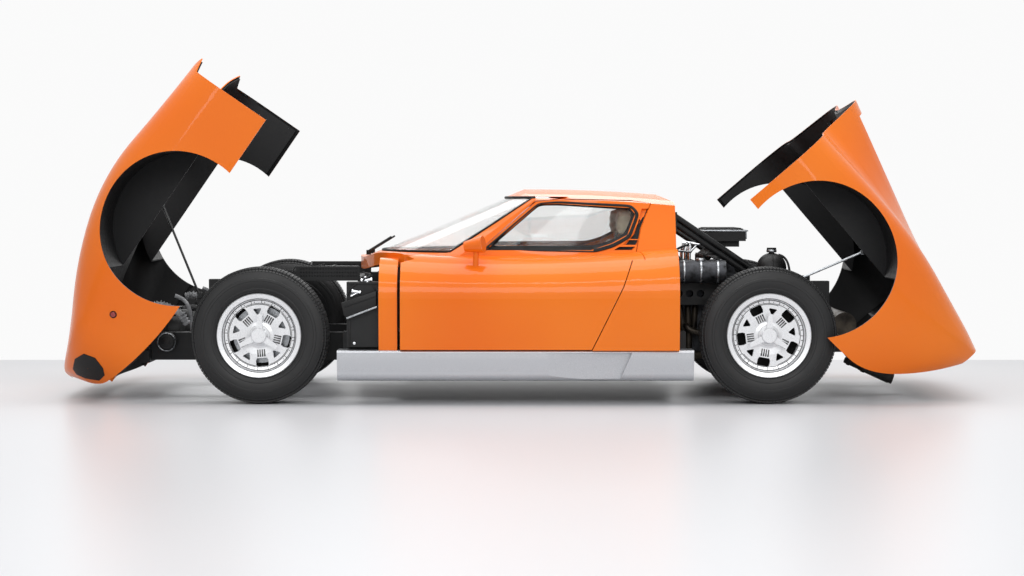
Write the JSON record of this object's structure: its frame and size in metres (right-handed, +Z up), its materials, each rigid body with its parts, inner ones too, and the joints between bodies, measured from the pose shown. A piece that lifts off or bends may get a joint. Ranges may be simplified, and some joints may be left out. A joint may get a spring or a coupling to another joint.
{
  "type": "mid-engined two-seat supercar",
  "caption": "Low mid-engined coupe with both body clamshells raised, opening doors, steered front wheels and an engine bay behind the cabin.",
  "frame": {"origin": "middle of the bounding box at floor level, with both clamshells raised", "axes": "+X runs from the nose to the tail, +Y to the car's right-hand side, +Z up"},
  "size_m": [4.6132, 1.7562, 1.694],
  "materials": {
    "body_paint": "gloss orange enamel",
    "inner_black": "satin black glass-fibre lining",
    "frame_black": "satin black chassis paint",
    "sill_silver": "satin silver paint",
    "alloy": "silver-painted cast alloy",
    "tyre_rubber": "black rubber",
    "glass": "clear",
    "lamp": "clear lens over a bright bowl",
    "tail_red": "red lens",
    "engine_alloy": "dull casting",
    "exhaust_steel": "dull steel",
    "steel": "plain steel",
    "black_plastic": "satin black",
    "leather": "light leather",
    "radiator_black": "painted black"
  },
  "bodies": {
    "chassis": {"chassis_tub": "frame_black", "front_frame": "frame_black", "rear_frame": "frame_black", "cabin_shell": "body_paint", "windscreen": "glass", "bulkhead_window": "glass", "sills": "sill_silver", "dashboard": "black_plastic", "steering_wheel": "black_plastic", "seat_left": "leather", "seat_right": "leather", "engine": "engine_alloy", "intake": "black_plastic", "exhaust": "exhaust_steel", "coolant_tank": "black_plastic", "radiator": "radiator_black", "front_suspension": "frame_black", "rear_suspension": "frame_black", "wipers": "black_plastic"},
    "knuckle_left_body": {"knuckle_left": "steel"},
    "knuckle_right_body": {"knuckle_right": "steel"},
    "front_wheel_left": {"wheel_front_left": "alloy", "tyre_front_left": "tyre_rubber"},
    "front_wheel_right": {"wheel_front_right": "alloy", "tyre_front_right": "tyre_rubber"},
    "rear_wheel_left": {"wheel_rear_left": "alloy", "tyre_rear_left": "tyre_rubber"},
    "rear_wheel_right": {"wheel_rear_right": "alloy", "tyre_rear_right": "tyre_rubber"},
    "front_lid": {"front_clamshell": "body_paint", "front_liner": "inner_black", "headlamp_left": "lamp", "headlamp_right": "lamp", "nose_grille": "black_plastic"},
    "rear_lid": {"rear_clamshell": "body_paint", "rear_liner": "inner_black", "engine_louvres": "black_plastic", "tail_panel": "black_plastic", "tail_lamps": "tail_red"},
    "left_door": {"door_left": "body_paint", "door_glass_left": "glass"},
    "right_door": {"door_right": "body_paint", "door_glass_right": "glass"},
    "front_lid_stay": {"front_stay": "steel"},
    "rear_lid_stay": {"rear_stay": "steel"}
  },
  "joints": [
    {"name": "front_lid_hinge", "type": "hinge", "parent": "chassis", "child": "front_lid", "pos_m": [-1.959, 0, 0.224], "axis": [0, 1, 0], "range_deg": [0, 55.5]},
    {"name": "rear_lid_hinge", "type": "hinge", "parent": "chassis", "child": "rear_lid", "pos_m": [1.758, 0, 0.275], "axis": [0, -1, 0], "range_deg": [0, 49.5]},
    {"name": "front_stay_fold", "type": "hinge", "parent": "chassis", "child": "front_lid_stay", "pos_m": [-1.604, -0.425, 0.518], "axis": [0, 1, 0], "range_deg": [0, 112.6]},
    {"name": "rear_stay_fold", "type": "hinge", "parent": "chassis", "child": "rear_lid_stay", "pos_m": [1.431, -0.5, 0.609], "axis": [0, 1, 0], "range_deg": [0, 33.1]},
    {"name": "steer_left", "type": "hinge", "parent": "chassis", "child": "knuckle_left_body", "pos_m": [-1.263, -0.64, 0.337], "axis": [0, 0, 1], "range_deg": [-25, 25]},
    {"name": "steer_right", "type": "hinge", "parent": "chassis", "child": "knuckle_right_body", "pos_m": [-1.263, 0.64, 0.337], "axis": [0, 0, 1], "range_deg": [-25, 25]},
    {"name": "front_wheel_left_spin", "type": "hinge", "parent": "knuckle_left_body", "child": "front_wheel_left", "pos_m": [-1.263, -0.706, 0.337], "axis": [0, 1, 0], "continuous": true},
    {"name": "front_wheel_right_spin", "type": "hinge", "parent": "knuckle_right_body", "child": "front_wheel_right", "pos_m": [-1.263, 0.706, 0.337], "axis": [0, 1, 0], "continuous": true},
    {"name": "rear_wheel_left_spin", "type": "hinge", "parent": "chassis", "child": "rear_wheel_left", "pos_m": [1.237, -0.706, 0.337], "axis": [0, 1, 0], "continuous": true},
    {"name": "rear_wheel_right_spin", "type": "hinge", "parent": "chassis", "child": "rear_wheel_right", "pos_m": [1.237, 0.706, 0.337], "axis": [0, 1, 0], "continuous": true},
    {"name": "left_door_hinge", "type": "hinge", "parent": "chassis", "child": "left_door", "pos_m": [-0.513, -0.87, 0.5], "axis": [0, 0, -1], "range_deg": [0, 60]},
    {"name": "right_door_hinge", "type": "hinge", "parent": "chassis", "child": "right_door", "pos_m": [-0.513, 0.87, 0.5], "axis": [0, 0, 1], "range_deg": [0, 60]}
  ],
  "couplings": [
    {"joint": "steer_right", "follows": "steer_left", "ratio": 1},
    {"joint": "front_stay_fold", "follows": "front_lid_hinge", "ratio": 2.028},
    {"joint": "rear_stay_fold", "follows": "rear_lid_hinge", "ratio": 0.667}
  ]
}
